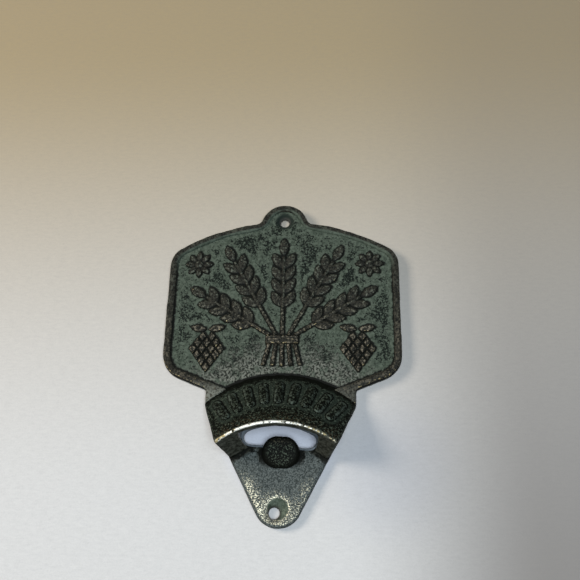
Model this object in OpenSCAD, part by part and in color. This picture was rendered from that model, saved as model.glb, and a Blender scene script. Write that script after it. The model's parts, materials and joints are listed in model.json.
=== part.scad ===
// Cast iron wall bottle opener: a sign-shaped plate with a hood, a cap tooth and raised ornament.
// Shapes are drawn lying down, as seen from the front, with the upper screw hole at the origin,
// X to the right, Y up the wall and Z out of the wall, and are then stood up against the wall.

/* [Plate] */
// Width of the plaque across its straight sides
plaque_w = 82.2; // [76:0.1:92]
// Height of the plaque, from the crown of its arch to the lower corner before rounding
plaque_h = 56.7; // [54:0.1:66]
// Radius of the plaque's arched top edge
arch_r = 72; // [60:1:110]
// Distance from the upper screw hole down to the crown of the arch
crown_drop = 0.6; // [0:0.1:2]
// Rounding of the two upper corners
upper_corner_r = 8; // [5:0.5:12]
// Rounding of the two lower corners
lower_corner_r = 9; // [5:0.5:12]
// Slope of the plaque's lower edges, in degrees
slant = 22.3; // [16:0.1:28]
// Thickness of the plate
plate_t = 3; // [2.4:0.1:4.5]

/* [Hanger and tail] */
// Radius of the round hanger at the top
hanger_r = 8.8; // [7.5:0.1:11]
// Height of the upper screw hole above the hanger's centre
hanger_hole_rise = 2.5; // [0.5:0.1:3.5]
// Rounding where the hanger meets the arch
hanger_fillet_r = 2.5; // [1:0.1:4]
// Width of the neck between plaque and tail
neck_w = 50.8; // [46:0.1:56]
// Length of the neck's straight edges
neck_h = 5.6; // [4:0.1:8]
// Radius of the tail's round end
tail_r = 7.9; // [7:0.1:10]
// Distance of the lower screw hole below the centre of the tail's round end
tail_hole_drop = 3.1; // [1:0.1:3.5]

/* [Screw holes] */
// Distance between the two screw holes, along the height
screw_pitch = 104; // [98:0.5:114]
// Diameter of the upper screw hole
upper_screw_d = 3.2; // [2.8:0.1:4]
// Diameter of the lower screw hole
lower_screw_d = 4; // [3:0.1:4.6]
// Diameter of the countersink at the front
sink_d = 6.6; // [5.4:0.1:7.4]
// Sideways place of the lower screw hole, to the right of the middle
lower_hole_shift = -1.2; // [-2:0.1:2]

/* [Rim] */
// Width of the raised rim
rim_w = 2.7; // [1.6:0.1:3.6]
// Height of the raised rim above the plate
rim_h = 1.2; // [0.6:0.1:2]

/* [Hood] */
// Distance that the hood's lip stands out from the wall
hood_depth = 22; // [19:0.5:27]
// Radius of the arch where the hood leaves the plate
hood_root_r = 40.1; // [37:0.1:46]
// Height of the top of that arch above the lower end of the neck
hood_rise = 10.7; // [9:0.1:13]
// Drop from the top of that arch to the middle of the lip
lip_drop = 21; // [18:0.5:24]
// Thickness of the hood's wall
hood_wall = 3; // [2.4:0.1:4]
// Outward lean of the hood's cheeks, in degrees
cheek_lean = 7.5; // [4:0.1:10]
// Angle between the axis and the side of the round scoop under the lip, in degrees
scoop_angle = 44; // [41:0.5:46]
// Distance of the scoop's point behind the front of the plate
scoop_depth = 21; // [18:0.5:24]
// Tilt of the scoop's top line, lower at the wall, in degrees
scoop_tilt = 4; // [2:0.5:6]

/* [Slot and tooth] */
// Width of the kidney-shaped slot
slot_w = 23.9; // [22:0.1:25]
// Distance of the slot's lower edge below the middle of the lip
slot_drop = 3.1; // [2.5:0.1:4]
// Height of the top of the slot's arch above the middle of the lip
slot_rise = 3.8; // [3:0.1:5]
// Radius of the slot's round ends
slot_end_r = 2.4; // [2:0.1:2.8]
// Tilt of the slot in the casting, lower at the right, in degrees
slot_tilt = 3.7; // [0:0.1:5]
// Distance between the slot's edge and the side of the hollow under the hood
hollow_margin = 1; // [0.8:0.1:2.5]
// Width of the tooth that catches the cap
tooth_w = 12.4; // [10.5:0.1:14]
// Height of the tooth along the wall
tooth_h = 10; // [8:0.1:10.4]
// Distance of the tooth's upper edge below the middle of the lip
tooth_drop = 0.5; // [0:0.1:1.5]
// Distance that the tooth's upper edge stands out from the plate
tooth_reach = 4.2; // [3:0.1:5.5]
// Slope of the tooth's face, in degrees
tooth_slope = 14; // [8:0.5:18]
// Sideways place of the tooth, to the right of the middle
tooth_shift = 0.6; // [-1.5:0.1:1.5]

/* [Ornament] */
// Height of the raised ornament
relief_h = 0.9; // [0.5:0.1:1.4]
// Distance of the straw's lower ends above the top of the hood's arch
sheaf_rise = 3; // [1.5:0.1:4]
// Distance between neighbouring stems along the tie
stem_pitch = 2.2; // [2.1:0.1:2.6]
// Distance of the middle ear's tip below the rim at the crown of the arch
middle_ear_gap = 4.1; // [3.2:0.1:5.5]
// Distance of the tips of the ears beside it from the rim of the arch
side_ear_gap = 3.5; // [2:0.1:5]
// Distance of the outermost ears' tips from the rim at the plaque's sides
far_ear_gap = 5.2; // [4:0.1:6]
// Height of the outermost ears' tips above the middle of the plaque's sides
far_ear_rise = 8.1; // [7.5:0.1:8.6]
// Number of pairs of grains on an ear
grain_pairs = 4; // [2:1:4]
// Length of a barley grain
grain_l = 7; // [5.6:0.1:7.4]
// Width of a barley grain
grain_w = 3.4; // [2.4:0.1:3.6]
// Length of bare stem below the grains of the middle ear
middle_bare_l = 10.4; // [8:0.1:12]
// Length of bare stem below the grains of the ears beside it
side_bare_l = 12.4; // [12:0.1:14]
// Length of bare stem below the grains of the outermost ears
far_bare_l = 7.4; // [7:0.1:8]
// Angle between a grain and its ear, in degrees
grain_angle = 32; // [28:1:38]
// Width of a barley stem
stem_w = 1.3; // [0.9:0.1:1.8]
// Length of the straw below the tie
straw_l = 8; // [6:0.5:9]
// Angle between neighbouring straws, in degrees
straw_step = 7; // [4:1:10]
// Height of the sheaf's tie
tie_h = 3.2; // [2.4:0.1:4]
// Distance of a hop cone's middle from the rim at the plaque's side
hop_inset = 12.4; // [11.5:0.1:13.5]
// Height of a hop cone's point above the rim of the plaque's lower edge
hop_rise = 2.7; // [1.5:0.1:3.2]
// Width of a scale of the hop cone
hop_scale_w = 2.7; // [2:0.1:3]
// Height of a scale of the hop cone
hop_scale_h = 3.9; // [3:0.1:4.2]
// Gap between neighbouring scales
hop_gap = 0.5; // [0.3:0.1:0.8]
// Length of the leaves above a hop cone
hop_leaf_l = 6; // [4.5:0.1:6.4]
// Width of the leaves above a hop cone
hop_leaf_w = 2.6; // [1.8:0.1:2.8]
// Angle between those leaves and straight up, in degrees
hop_leaf_angle = 80; // [74:1:90]
// Distance of a rosette's centre from the rim at the plaque's side
rosette_inset = 7.9; // [6.8:0.1:8.4]
// Height of a rosette's centre above the centre of the plaque's upper corner
rosette_rise = 0.3; // [-0.6:0.1:0.8]
// Radius of a rosette's round eye
eye_r = 1.6; // [1.2:0.1:1.8]
// Length of a rosette's petal
petal_l = 4; // [3:0.1:4.4]
// Width of a rosette's petal
petal_w = 2.2; // [1.4:0.1:2.4]
// Number of petals on a rosette
petals = 8; // [5:1:8]
// Number of lobes in the row on the hood
lobes = 9; // [5:2:9]
// Angle between neighbouring lobes, in degrees
lobe_step = 9; // [8.5:0.1:9.5]
// Width of a lobe
lobe_w = 3; // [2:0.1:3.6]
// Length of a lobe, as seen from the front
lobe_l = 9.5; // [7:0.1:11]
// Distance of the lobes below the top of the hood's arch, as seen from the front
lobe_drop = 3.6; // [2:0.1:5]

/* [Hidden] */
$fn = 96;

// Larger than the whole opener, for cutting blocks
big = 400;
// How far a cut runs past the face that it leaves
over = 1;
// Degrees between the points of an outline's round stretches
arc_step = 3;
// Colours of the worn bronze on the raised parts and of the green ground
bronze = [0.24, 0.20, 0.16];
green = [0.34, 0.43, 0.39];

// Plaque: centres of its arch and corners
half_w = plaque_w / 2;
arch_y = -crown_drop - arch_r;
corner_y = -crown_drop - plaque_h;
upper_x = half_w - upper_corner_r;
upper_y = arch_y + sqrt(pow(arch_r - upper_corner_r, 2) - pow(upper_x, 2));
arch_spread = atan(upper_x / (upper_y - arch_y));
lower_x = half_w - lower_corner_r;
lower_y = corner_y + lower_corner_r * tan((90 - slant) / 2);

// Hanger: its centre and the centre of the fillet at its right
hanger_y = -hanger_hole_rise;
fillet_turn = apart(arch_r + hanger_fillet_r, hanger_r + hanger_fillet_r, hanger_y - arch_y);
fillet = [0, arch_y] + polar(arch_r + hanger_fillet_r, fillet_turn);
hanger_turn = atan2(fillet[0], fillet[1] - hanger_y);

// Neck and tail
neck_x = neck_w / 2;
neck_y = corner_y - (half_w - neck_x) * tan(slant);
taper_y = neck_y - neck_h;
tail_y = -screw_pitch + tail_hole_drop;
taper = atan(neck_x / (taper_y - tail_y)) - asin(tail_r / norm([neck_x, taper_y - tail_y]));

// Hood: a cone whose axis is square to the wall
hood_top_y = taper_y + hood_rise;
hood_axis_y = hood_top_y - hood_root_r;
lip_y = hood_top_y - lip_drop;
cone_slope = lip_drop / (hood_depth - plate_t);
cone_angle = atan(cone_slope);
cone_h = hood_root_r / cone_slope;

// Slot and tooth
slot_y = lip_y - slot_drop;
slot_end = [slot_w / 2 - slot_end_r, slot_y + slot_end_r];
slot_bulge = lip_y + slot_rise - slot_end_r - slot_end[1];
slot_arch_r = (pow(slot_end[0], 2) + pow(slot_bulge, 2)) / (2 * slot_bulge) + slot_end_r;
slot_arch_y = lip_y + slot_rise - slot_arch_r;
slot_spread = atan2(slot_end[0], slot_end[1] - slot_arch_y);
tooth_y = lip_y - tooth_drop - tooth_h / 2;
tooth_end_r = tooth_h / 2;

// Sheaf: ears at each side of the middle one, the tie's upper edge and width, and what the ears reach
ears_each_side = 2;
tie_top_y = hood_top_y + sheaf_rise + straw_l + tie_h;
tie_w = 2 * ears_each_side * stem_pitch + 2 * stem_w;
field_x = half_w - rim_w;
far_tip = [field_x - far_ear_gap, (upper_y + lower_y) / 2 + far_ear_rise];
far_ear = far_tip - stem_foot(ears_each_side);
ear_step = atan2(far_ear[0], far_ear[1]) / ears_each_side;
far_ear_l = norm(far_ear);
side_ear_l = reach(stem_foot(1), ear_step, [0, arch_y], arch_r - rim_w - side_ear_gap);
middle_ear_l = -crown_drop - rim_w - middle_ear_gap - tie_top_y;

// Hop cones: scales in each row from the top, their steps, and the point and top of a cone
scales_in_row = [2, 3, 4, 3, 2, 1];
hop_step_x = hop_scale_w + hop_gap;
hop_step_y = (hop_scale_h + hop_gap) / 2;
hop_x = field_x - hop_inset;
hop_point_y = corner_y - (half_w - hop_x) * tan(slant) + rim_w / cos(slant) + hop_rise;
hop_top_y = hop_point_y + (len(scales_in_row) - 1) * hop_step_y + hop_scale_h;

// Rosettes
rosette_x = field_x - rosette_inset;
rosette_y = upper_y + rosette_rise;

// Point at a distance and an angle from straight up, clockwise
function polar(r, angle) = [r * sin(angle), r * cos(angle)];

// Angle at one centre between the line to another centre and the line to where their circles cross
function apart(r, other_r, distance) =
    acos((r * r + distance * distance - other_r * other_r) / (2 * r * distance));

// Distance from a point, at an angle from straight up, to a circle around it
function reach(point, angle, centre, r) =
    let (way = centre - point, along = way * polar(1, angle))
    along + sqrt(r * r - way * way + along * along);

// Foot of a stem on the tie, counted to the right of the middle one
function stem_foot(place) = [place * stem_pitch, tie_top_y];

// Points of an arc between two angles from straight up, clockwise
function arc(centre, r, from, to) =
    let (steps = ceil(abs(to - from) / arc_step))
    [for (i = [0 : steps]) centre + polar(r, from + (to - from) * i / steps)];

// Points without those that repeat the one before
function distinct(points) =
    [for (i = [0 : len(points) - 1]) if (i == 0 || norm(points[i] - points[i - 1]) > 0.001) points[i]];

// Closed outline from the points of its right half, from the top down
function whole(half) =
    let (right = distinct(half))
    concat(right, [for (i = [len(right) - 1 : -1 : 0]) if (right[i][0] > 0.001) [-right[i][0], right[i][1]]]);

// Right half of the plaque with its hanger, drawn in by a distance, down to a place on its lower edge
function plaque_half(inset, end_x) = concat(
    arc([0, hanger_y], hanger_r - inset, 0, hanger_turn),
    arc(fillet, hanger_fillet_r + inset, hanger_turn + 180, fillet_turn + 180),
    arc([0, arch_y], arch_r - inset, fillet_turn, arch_spread),
    arc([upper_x, upper_y], upper_corner_r - inset, arch_spread, 90),
    arc([lower_x, lower_y], lower_corner_r - inset, 90, 180 - slant),
    [[end_x, corner_y - (half_w - end_x) * tan(slant) + inset / cos(slant)]]
);

// Right half of the whole plate
function plate_half() = concat(plaque_half(0, neck_x), tail_half());

// Right half of the neck and tail
function tail_half() = concat(
    [[neck_x, taper_y]],
    arc([0, tail_y], tail_r, 90 + taper, 180)
);

// Stands the flat drawing up against the wall
module upright() {
    rotate([90, 0, 0]) children();
}

// Draws its children on the right and, mirrored, on the left
module both_sides() {
    children();
    mirror([1, 0, 0]) children();
}

// Raises a flat shape off the front of the plate
module raised(h) {
    translate([0, 0, plate_t]) linear_extrude(h) children();
}

// Pointed oval standing on its point, the common shape of grains, scales and petals
module leaf(l, w) {
    r = (l * l + w * w) / (4 * w);
    translate([0, l / 2])
        intersection() {
            translate([r - w / 2, 0]) circle(r);
            translate([w / 2 - r, 0]) circle(r);
        }
}

// Footprint of the tooth, with round ends
module tooth_outline() {
    flat = tooth_w / 2 - tooth_end_r;
    translate([tooth_shift, tooth_y]) polygon(whole(arc([flat, 0], tooth_end_r, 0, 180)));
}

// Block on the inner side of the right-hand taper, leaning outward
module inside_taper(lean) {
    translate([neck_x, taper_y, plate_t])
        rotate([0, 0, -taper])
            rotate([0, lean, 0])
                translate([-big, -big / 2, -big / 2]) cube(big);
}

// Solid cone of the hood, grown outward by a distance
module hood_cone(growth) {
    lift = growth / sin(cone_angle);
    translate([0, hood_axis_y, plate_t])
        intersection() {
            translate([0, 0, lift - big])
                cylinder(h = cone_h + big, r1 = (cone_h + big) * cone_slope, r2 = 0, $fn = 240);
            translate([-big / 2, -big / 2, 0]) cube(big);
        }
}

// Round scoop under the hood's lip, a cone whose top line runs along the lip's underside
module mouth_scoop() {
    point_z = plate_t - scoop_depth;
    translate([0, lip_y - (hood_depth - point_z) * tan(scoop_tilt), point_z])
        rotate([scoop_angle - scoop_tilt, 0, 0])
            cylinder(h = big, r1 = 0, r2 = big * tan(scoop_angle), $fn = 240);
}

// Kidney-shaped slot under the hood, grown outward by a distance
module slot_outline(growth) {
    translate([0, slot_y])
        rotate(-slot_tilt)
            translate([0, -slot_y])
                polygon(whole(concat(
                    arc([0, slot_arch_y], slot_arch_r + growth, 0, slot_spread),
                    arc(slot_end, slot_end_r + growth, slot_spread, 180)
                )));
}

// Screw hole with its countersink
module screw_hole(hole_d) {
    sink_h = (sink_d - hole_d) / 2;
    translate([0, 0, -over]) cylinder(h = plate_t + 2 * over, d = hole_d);
    translate([0, 0, plate_t - sink_h]) cylinder(h = sink_h, d1 = hole_d, d2 = sink_d);
    translate([0, 0, plate_t]) cylinder(h = over, d = sink_d);
}

// Plate with its hanger, neck and tail
module back_plate() {
    color(green) upright()
        difference() {
            linear_extrude(plate_t)
                difference() {
                    polygon(whole(plate_half()));
                    difference() {
                        slot_outline(0);
                        tooth_outline();
                    }
                }
            screw_hole(upper_screw_d);
            translate([lower_hole_shift, -screw_pitch, 0]) screw_hole(lower_screw_d);
        }
}

// Rim along the edge of the plaque and the hanger, whose inner edge runs straight on to the hood
module raised_rim() {
    color(bronze) upright()
        difference() {
            raised(rim_h)
                difference() {
                    polygon(whole(plate_half()));
                    polygon(whole(plaque_half(rim_w, 0)));
                }
            hood_cone(0);
        }
}

// Hood over the slot, scooped out below and open to the wall through the slot
module hood() {
    color(bronze) upright()
        difference() {
            intersection() {
                hood_cone(0);
                inside_taper(cheek_lean);
                mirror([1, 0, 0]) inside_taper(cheek_lean);
                translate([-neck_x, -big, 0]) cube([neck_w, big, big]);
            }
            mouth_scoop();
            intersection() {
                hood_cone(-hood_wall);
                linear_extrude(big) slot_outline(hollow_margin);
            }
        }
}

// Tooth that catches the rim of a cap, highest at the slot
module cap_tooth() {
    color(bronze) upright()
        intersection() {
            raised(tooth_reach) tooth_outline();
            translate([0, tooth_y + tooth_h / 2, plate_t + tooth_reach])
                rotate([tooth_slope, 0, 0])
                    translate([-big / 2, -big / 2, -big]) cube(big);
        }
}

// Row of raised lobes that fans out over the hood
module hood_lobes() {
    far = hood_root_r - lobe_drop - lobe_w / 2;
    near = far - lobe_l + lobe_w;
    color(bronze) upright()
        difference() {
            intersection() {
                hood_cone(relief_h);
                translate([0, hood_axis_y, 0])
                    linear_extrude(big)
                        for (i = [0 : lobes - 1])
                            rotate((i - (lobes - 1) / 2) * lobe_step) {
                                translate([0, far]) circle(d = lobe_w);
                                translate([0, near]) circle(d = lobe_w);
                                translate([-lobe_w / 2, near]) square([lobe_w, far - near]);
                            }
            }
            hood_cone(0);
        }
}

// Barley ear that leans out of the tie, with grains in pairs and one at the tip
// place counts the ears to the right of the middle one, l is from the tie to the tip, bare_l to the grains
module barley_ear(place, l, bare_l) {
    tip = l - grain_l;
    grain_pitch = (tip - bare_l) / grain_pairs;
    color(bronze) upright()
        raised(relief_h)
            intersection() {
                translate(stem_foot(place))
                    rotate(-place * ear_step) {
                        translate([-stem_w / 2, -tie_h]) square([stem_w, tip + tie_h + grain_w / 2]);
                        translate([0, tip]) leaf(grain_l, grain_w);
                        for (i = [1 : grain_pairs])
                            both_sides()
                                translate([stem_w / 4, tip - i * grain_pitch])
                                    rotate(-grain_angle) leaf(grain_l, grain_w);
                    }
                translate([-big / 2, tie_top_y]) square(big);
            }
}

module barley_ear_far_left() { barley_ear(-2, far_ear_l, far_bare_l); }
module barley_ear_left() { barley_ear(-1, side_ear_l, side_bare_l); }
module barley_ear_middle() { barley_ear(0, middle_ear_l, middle_bare_l); }
module barley_ear_right() { barley_ear(1, side_ear_l, side_bare_l); }
module barley_ear_far_right() { barley_ear(2, far_ear_l, far_bare_l); }

// Tie around the sheaf
module sheaf_tie() {
    color(bronze) upright()
        raised(relief_h)
            translate([-tie_w / 2, tie_top_y - tie_h]) square([tie_w, tie_h]);
}

// Straw that spreads out below the tie
module sheaf_straw() {
    color(bronze) upright()
        raised(relief_h)
            difference() {
                for (place = [-ears_each_side : ears_each_side])
                    translate(stem_foot(place) - [0, tie_h])
                        rotate(place * straw_step)
                            translate([-stem_w / 2, -straw_l]) square([stem_w, straw_l + tie_h / 2]);
                translate([-big / 2, tie_top_y - tie_h]) square(big);
            }
}

// Hop cone hanging point down, with diamond scales in staggered rows and two leaves above
module hop_cone() {
    color(bronze) upright()
        raised(relief_h)
            translate([hop_x, hop_top_y]) {
                for (row = [0 : len(scales_in_row) - 1])
                    for (i = [0 : scales_in_row[row] - 1])
                        translate([(i - (scales_in_row[row] - 1) / 2) * hop_step_x, -row * hop_step_y])
                            polygon([
                                [0, 0],
                                [hop_scale_w / 2, -hop_scale_h / 2],
                                [0, -hop_scale_h],
                                [-hop_scale_w / 2, -hop_scale_h / 2]
                            ]);
                both_sides()
                    translate([hop_gap / 2, hop_gap]) rotate(-hop_leaf_angle) leaf(hop_leaf_l, hop_leaf_w);
            }
}

module hop_cone_right() { hop_cone(); }
module hop_cone_left() { mirror([1, 0, 0]) hop_cone(); }

// Rosette with a round eye and a ring of petals
module rosette() {
    color(bronze) upright()
        raised(relief_h)
            translate([rosette_x, rosette_y]) {
                circle(eye_r);
                for (i = [0 : petals - 1])
                    rotate(i * 360 / petals)
                        translate([0, eye_r - petal_w / 4]) leaf(petal_l, petal_w);
            }
}

module rosette_right() { rosette(); }
module rosette_left() { mirror([1, 0, 0]) rosette(); }

back_plate();
raised_rim();
hood();
cap_tooth();
hood_lobes();
barley_ear_far_left();
barley_ear_left();
barley_ear_middle();
barley_ear_right();
barley_ear_far_right();
sheaf_straw();
sheaf_tie();
hop_cone_left();
hop_cone_right();
rosette_left();
rosette_right();
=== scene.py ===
"""Cast iron wall bottle opener: softened castings over the frame's solids, with a rubbed green patina."""
import json
import math

import bpy
import numpy as np
from mathutils import Matrix, Vector
from mathutils.bvhtree import BVHTree


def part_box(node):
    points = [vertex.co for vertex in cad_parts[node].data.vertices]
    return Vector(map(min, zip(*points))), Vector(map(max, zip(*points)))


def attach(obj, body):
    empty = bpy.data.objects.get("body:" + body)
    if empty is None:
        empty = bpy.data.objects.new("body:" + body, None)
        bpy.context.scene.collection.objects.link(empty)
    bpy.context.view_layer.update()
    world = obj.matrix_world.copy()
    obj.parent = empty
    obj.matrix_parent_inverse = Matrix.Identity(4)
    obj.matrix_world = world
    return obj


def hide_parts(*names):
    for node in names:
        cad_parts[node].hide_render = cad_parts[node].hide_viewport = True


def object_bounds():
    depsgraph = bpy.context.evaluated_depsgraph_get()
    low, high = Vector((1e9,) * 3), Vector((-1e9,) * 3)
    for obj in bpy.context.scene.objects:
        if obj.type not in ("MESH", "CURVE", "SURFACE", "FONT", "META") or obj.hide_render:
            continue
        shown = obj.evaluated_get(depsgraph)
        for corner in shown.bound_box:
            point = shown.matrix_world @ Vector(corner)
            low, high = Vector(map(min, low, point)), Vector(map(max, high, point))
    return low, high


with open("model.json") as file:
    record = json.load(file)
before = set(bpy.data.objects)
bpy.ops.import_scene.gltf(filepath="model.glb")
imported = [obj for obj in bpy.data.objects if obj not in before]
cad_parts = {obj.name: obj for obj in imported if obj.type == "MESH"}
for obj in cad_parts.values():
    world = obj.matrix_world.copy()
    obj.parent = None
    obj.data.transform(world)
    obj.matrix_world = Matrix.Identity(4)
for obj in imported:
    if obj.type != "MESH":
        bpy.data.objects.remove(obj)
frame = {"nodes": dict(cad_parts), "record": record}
cad_low, cad_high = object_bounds()

# Shapes are worked out in millimetres: u to the right, p out of the wall and v up.
MM = 0.001

# Distance between samples of the castings, the hood and the ornament, and room left around them
COARSE = 1.0
PLATE_STEP = 0.40 * COARSE
HOOD_STEP = 0.30 * COARSE
RELIEF_STEP = 0.20 * COARSE
CAST_MARGIN = 1.1
RELIEF_MARGIN_STEPS = 6
# Distance up to which a solid is measured, how much it is drawn out to measure its outline alone, and
# how far a line goes on past a surface before it looks for the next one
FAR = 3.0
INSET_FAR = 8.0
STRETCH = 1000.0
STEP_PAST = 1e-4
# Softness of the cast edges, reach of the rubbing and painted highlights on them, and height of the lumps
# of the sand mould
SOFT_EDGE = 0.52
RUB_REACH = 0.7
RUB_DEPTH = 0.3
LUMP = 0.03
LUMP_WAVES, LUMP_SEED = 14, 11
LUMP_LENGTHS = (3.0, 12.0)

# Upper screw hole, dish around the lower one, a little off its middle, the countersinks, and the ring
# that keeps the softening from opening the holes
UPPER_HOLE = (0.0, 0.0)
DISH_R = 3.6
DISH_DEPTH = 1.0
DISH_PLACE = (0.0, -102.8)
SINK_R = 3.3
RING_W, RING_TOP, RING_GAP = 0.9, 1.6, 0.1

# Slope of the tooth's face and rounding of its edges
TOOTH_SLOPE = math.radians(14)
TOOTH_ROUND = 1.7

# Cone of the hood: its radius at the plate and its drop to the lip
HOOD_ROOT_R = 40.1
LIP_DROP = 21.0
# Scoop under the lip, a cone: its half angle, its point behind the plate's front and its top line's tilt
SCOOP_ANGLE, SCOOP_DEPTH, SCOOP_TILT = math.radians(44), 21.0, math.radians(4)

# Ornament: depth that it is sunk, and the sizes of its ears, stems, grains, cords, scales, petals and
# lobes. A rise or foot is a share of the full height, and so is the depth of a groove or cord.
SINK = 0.45
EARS = ("far_left", "left", "middle", "right", "far_right")
EAR_PLACES = range(-(len(EARS) // 2), len(EARS) // 2 + 1)
STEM_PITCH, STEM_W, STEM_RISE = 2.2, 1.3, 0.75
EAR_STEP = math.radians(29)
EAR_LENGTHS = (37.04, 39.05, 33.96)
BARE_LENGTHS = (10.4, 12.4, 7.4)
GRAIN_PAIRS, GRAIN_L, GRAIN_W, GRAIN_ANGLE, GRAIN_FOOT = 4, 7.0, 3.4, math.radians(32), 0.6
GROOVE_W, GROOVE_DEPTH = 0.28, 0.14
STRAW_L, STRAW_STEP = 8.0, math.radians(7)
TIE_CORDS, CORD_DEPTH = 3, 0.18
SCALE_W, SCALE_H, SCALE_GAP, SCALE_TILT = 2.7, 3.9, 0.5, 0.2
SCALES_IN_ROW = (2, 3, 4, 3, 2, 1)
HOP_LEAF_L, HOP_LEAF_W, HOP_LEAF_ANGLE, HOP_LEAF_FOOT = 6.0, 2.6, math.radians(80), 0.8
EYE_R, PETALS, PETAL_L, PETAL_W, PETAL_FOOT = 1.6, 8, 4.0, 2.2, 0.55
LOBES, LOBE_STEP, LOBE_W, LOBE_L = 9, math.radians(9), 3.0, 9.5
LOBE_DROP, LOBE_ROUND = 3.6, 1.2

# Photograph: its width and focal length in pixels, and the camera's sensor, nearest reach and place
PHOTO_PX = 580
FOCAL_PX = 800
SENSOR_W = 36.0
CLIP_START = 10 * MM
CAMERA_TILT, CAMERA_YAW, CAMERA_ROLL = math.radians(23.0), math.radians(3.68), math.radians(1.25)
CAMERA_TARGET = Vector((2.23, 0.0, -26.2)) * MM
CAMERA_DISTANCE = 286 * MM

# World: its light, how bright it looks where it is seen, and its colour
SKY_LIGHT, SKY_SEEN = 0.11, 0.80
SKY_COLOUR = (0.86, 0.93, 1.0, 1.0)
# Place near the opener's middle that the lamps look at
LAMP_TARGET = Vector((0.0, 0.0, -50.0)) * MM


def box_mm(node):
    """Lowest and highest (u, p, v) of a CAD node."""
    low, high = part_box(node)
    return np.array([low.x, -high.y, low.z]) / MM, np.array([high.x, -low.y, high.z]) / MM


plate_t = box_mm("back_plate")[1][1]
hood_top = box_mm("hood")[1][2]
hood_depth = box_mm("hood")[1][1]
hood_axis = hood_top - HOOD_ROOT_R
cone_slope = LIP_DROP / (hood_depth - plate_t)
tie_top = box_mm("sheaf_tie")[1][2]
relief_h = box_mm("sheaf_tie")[1][1] - plate_t
mounts = {mount["name"]: mount for mount in frame["record"]["mounts"]}


# Sampled fields: negative inside a shape and positive outside

def samples(low, high, step, margin):
    """Sample places along u, p and v around a box."""
    return [np.arange(a - margin, b + margin + step, step) for a, b in zip(low, high)]


def spread_out(us, ps, vs):
    """The three axes, ready to be combined into a block."""
    return us[:, None, None], ps[None, :, None], vs[None, None, :]


def crossings(tree, u, p, v):
    """Places along u where a line through a solid enters and leaves it."""
    found = []
    hit = tree.ray_cast((u, p, v), (1, 0, 0))[0]
    while hit is not None:
        found.append(hit.x)
        hit = tree.ray_cast((hit.x + STEP_PAST, p, v), (1, 0, 0))[0]
    return found


def node_distance(node, us, ps, vs, stretch=1.0, far=FAR):
    """Signed distance to a CAD node at the samples near it."""
    solid = frame["nodes"][node].data
    corners = [(c.co.x / MM, -c.co.y / MM * stretch, c.co.z / MM) for c in solid.vertices]
    tree = BVHTree.FromPolygons(corners, [tuple(face.vertices) for face in solid.polygons])
    low, high = box_mm(node)
    near_u = np.flatnonzero((us > low[0] - far) & (us < high[0] + far))
    near_p = np.flatnonzero((ps > low[1] - far) & (ps < high[1] + far))
    near_v = np.flatnonzero((vs > low[2] - far) & (vs < high[2] + far))
    field = np.full((len(us), len(ps), len(vs)), far)
    row_u = us[near_u]
    for j in near_p:
        p = ps[j] * stretch
        for k in near_v:
            hits = [tree.find_nearest((u, p, vs[k]), far)[3] for u in row_u]
            row = np.array([far if hit is None else hit for hit in hits])
            inside = np.searchsorted(crossings(tree, low[0] - far, p, vs[k]), row_u) % 2 == 1
            field[near_u, j, k] = np.where(inside, -row, row)
    return field


def outline_distance(node, us, vs, far=FAR, share=0.5):
    """Signed distance to a node's outline, seen from the front, at a share of its height."""
    low, high = box_mm(node)
    section = low[1] + share * (high[1] - low[1])
    return node_distance(node, us, np.array([section]), vs, STRETCH, far)


def between(outline, p, low, high):
    """Distance to an outline's solid between two heights."""
    across = np.abs(p - (low + high) / 2) - (high - low) / 2
    outside = np.hypot(np.maximum(outline, 0), np.maximum(across, 0))
    return np.minimum(np.maximum(outline, across), 0) + outside


def soften(field, spread):
    """Field blurred by a bell curve whose spread is given in samples."""
    for axis in range(3):
        field = np.moveaxis(field, axis, 0)
        for _ in range(round(2 * spread * spread)):
            padded = np.concatenate([field[:1], field, field[-1:]])
            field = (padded[:-2] + 2 * padded[1:-1] + padded[2:]) / 4
        field = np.moveaxis(field, 0, axis)
    return field


def lumps(u, p, v):
    """Smooth unevenness of the sand mould."""
    draw = np.random.default_rng(LUMP_SEED)
    total = 0
    for _ in range(LUMP_WAVES):
        way = draw.normal(size=3)
        way *= 2 * math.pi / draw.uniform(*LUMP_LENGTHS) / np.linalg.norm(way)
        total = total + np.sin(u * way[0] + p * way[1] + v * way[2] + draw.uniform(0, 2 * math.pi))
    return LUMP * total / math.sqrt(LUMP_WAVES / 2)


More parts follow.
